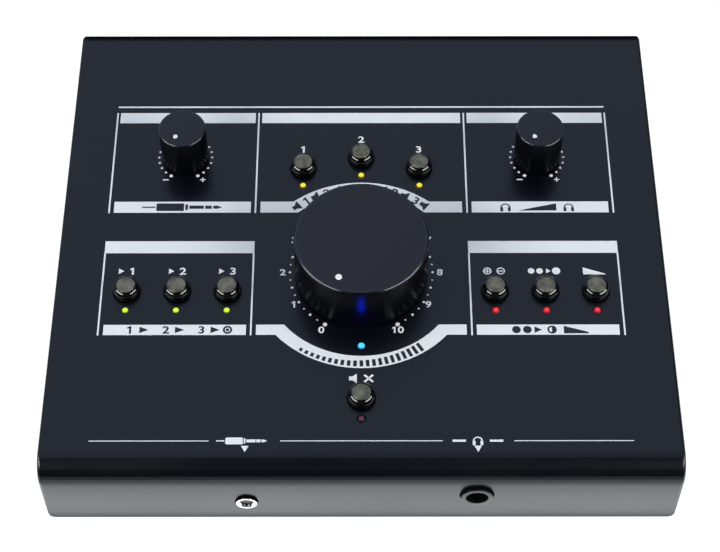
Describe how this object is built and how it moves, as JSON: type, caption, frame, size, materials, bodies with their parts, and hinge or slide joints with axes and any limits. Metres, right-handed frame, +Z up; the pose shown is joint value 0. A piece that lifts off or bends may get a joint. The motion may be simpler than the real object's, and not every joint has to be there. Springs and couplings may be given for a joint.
{
  "type": "studio monitor controller",
  "caption": "Wedge-shaped desktop monitor controller: sloping steel panel with a large volume knob, small level knobs, lit push buttons, front headphone and aux sockets and rear connectors.",
  "frame": {"origin": "centre of the footprint, on the surface that the feet stand on", "axes": "+X to the user's right, +Y to the rear, +Z up"},
  "size_m": [0.2168, 0.196, 0.0787],
  "materials": {
    "enclosure_paint": "satin black powder coat",
    "foot_rubber": "matte black rubber",
    "screw_black": "black zinc",
    "plated_steel": "zinc plated",
    "circuit_board": "green solder mask",
    "ribbon_grey": "grey flat cable",
    "component_black": "moulded",
    "switch_plastic": "moulded",
    "knob_black": "black anodised, satin top",
    "pointer_white": "white inlay",
    "button_black": "gloss black",
    "insert_metal": "dark nickel, spun",
    "lamp_green": "lit green lens",
    "lamp_red": "lit red lens",
    "lamp_amber": "lit amber lens",
    "lamp_blue": "lit blue lens",
    "lamp_unlit": "dark red lens, unlit",
    "socket_plastic": "moulded black",
    "socket_plating": "nickel plated",
    "phono_gold": "gold plated",
    "rocker_plastic": "gloss black"
  },
  "bodies": {
    "casing": {"top_cover": "enclosure_paint", "base_tray": "enclosure_paint", "rear_panel": "enclosure_paint", "rubber_feet": "foot_rubber", "pan_screws": "screw_black", "cover_screws": "screw_black", "board_pillars": "plated_steel", "control_board": "circuit_board", "main_board": "circuit_board", "ribbon_cable": "ribbon_grey", "board_components": "component_black", "potentiometers": "plated_steel", "pot_nuts": "plated_steel", "switch_bodies": "switch_plastic", "led_spacers": "switch_plastic", "green_leds": "lamp_green", "red_leds": "lamp_red", "amber_leds": "lamp_amber", "blue_led": "lamp_blue", "mute_led": "lamp_unlit", "phones_socket": "socket_plastic", "aux_socket": "socket_plastic", "aux_socket_ring": "socket_plating", "output_jacks": "socket_plastic", "output_jack_nuts": "socket_plating", "combo_sockets": "socket_plastic", "phono_block": "socket_plastic", "phono_barrels": "phono_gold", "dc_inlet": "socket_plastic", "rocker_frame": "socket_plastic"},
    "power_rocker": {"power_rocker": "rocker_plastic"},
    "master_knob": {"master_knob": "knob_black", "master_indicator": "pointer_white", "master_shaft": "plated_steel"},
    "aux_knob": {"aux_knob": "knob_black", "aux_indicator": "pointer_white", "aux_shaft": "plated_steel"},
    "phones_knob": {"phones_knob": "knob_black", "phones_indicator": "pointer_white", "phones_shaft": "plated_steel"},
    "source_1_button": {"source_1_cap": "button_black", "source_1_insert": "insert_metal"},
    "source_2_button": {"source_2_cap": "button_black", "source_2_insert": "insert_metal"},
    "source_3_button": {"source_3_cap": "button_black", "source_3_insert": "insert_metal"},
    "mix_1_button": {"mix_1_cap": "button_black", "mix_1_insert": "insert_metal"},
    "mix_2_button": {"mix_2_cap": "button_black", "mix_2_insert": "insert_metal"},
    "mix_3_button": {"mix_3_cap": "button_black", "mix_3_insert": "insert_metal"},
    "speaker_1_button": {"speaker_1_cap": "button_black", "speaker_1_insert": "insert_metal"},
    "speaker_2_button": {"speaker_2_cap": "button_black", "speaker_2_insert": "insert_metal"},
    "speaker_3_button": {"speaker_3_cap": "button_black", "speaker_3_insert": "insert_metal"},
    "mute_button": {"mute_cap": "button_black", "mute_insert": "insert_metal"}
  },
  "joints": [
    {"name": "power_rocker_tilt", "type": "hinge", "parent": "casing", "child": "power_rocker", "pos_m": [0.093, 0.08697, 0.027], "axis": [1, 0, 0], "range_deg": [0, 18]},
    {"name": "master_turn", "type": "hinge", "parent": "casing", "child": "master_knob", "pos_m": [0, -0.02003, 0.0511], "axis": [0, 0.1736, -0.9848], "range_deg": [0, 305]},
    {"name": "aux_turn", "type": "hinge", "parent": "casing", "child": "aux_knob", "pos_m": [-0.0651, 0.03059, 0.06002], "axis": [0, 0.1736, -0.9848], "range_deg": [0, 300]},
    {"name": "phones_turn", "type": "hinge", "parent": "casing", "child": "phones_knob", "pos_m": [0.0651, 0.03059, 0.06002], "axis": [0, 0.1736, -0.9848], "range_deg": [0, 300]},
    {"name": "source_1_press", "type": "slide", "parent": "casing", "child": "source_1_button", "axis": [0, 0.1736, -0.9848], "range_m": [0, 0.002], "stiffness_N_per_m": 600, "springref_m": -0.002},
    {"name": "source_2_press", "type": "slide", "parent": "casing", "child": "source_2_button", "axis": [0, 0.1736, -0.9848], "range_m": [0, 0.002], "stiffness_N_per_m": 600, "springref_m": -0.002},
    {"name": "source_3_press", "type": "slide", "parent": "casing", "child": "source_3_button", "axis": [0, 0.1736, -0.9848], "range_m": [0, 0.002], "stiffness_N_per_m": 600, "springref_m": -0.002},
    {"name": "mix_1_press", "type": "slide", "parent": "casing", "child": "mix_1_button", "axis": [0, 0.1736, -0.9848], "range_m": [0, 0.002], "stiffness_N_per_m": 600, "springref_m": -0.002},
    {"name": "mix_2_press", "type": "slide", "parent": "casing", "child": "mix_2_button", "axis": [0, 0.1736, -0.9848], "range_m": [0, 0.002], "stiffness_N_per_m": 600, "springref_m": -0.002},
    {"name": "mix_3_press", "type": "slide", "parent": "casing", "child": "mix_3_button", "axis": [0, 0.1736, -0.9848], "range_m": [0, 0.002], "stiffness_N_per_m": 600, "springref_m": -0.002},
    {"name": "speaker_1_press", "type": "slide", "parent": "casing", "child": "speaker_1_button", "axis": [0, 0.1736, -0.9848], "range_m": [0, 0.002], "stiffness_N_per_m": 600, "springref_m": -0.002},
    {"name": "speaker_2_press", "type": "slide", "parent": "casing", "child": "speaker_2_button", "axis": [0, 0.1736, -0.9848], "range_m": [0, 0.002], "stiffness_N_per_m": 600, "springref_m": -0.002},
    {"name": "speaker_3_press", "type": "slide", "parent": "casing", "child": "speaker_3_button", "axis": [0, 0.1736, -0.9848], "range_m": [0, 0.002], "stiffness_N_per_m": 600, "springref_m": -0.002},
    {"name": "mute_press", "type": "slide", "parent": "casing", "child": "mute_button", "axis": [0, 0.1736, -0.9848], "range_m": [0, 0.002], "stiffness_N_per_m": 600, "springref_m": -0.002}
  ]
}
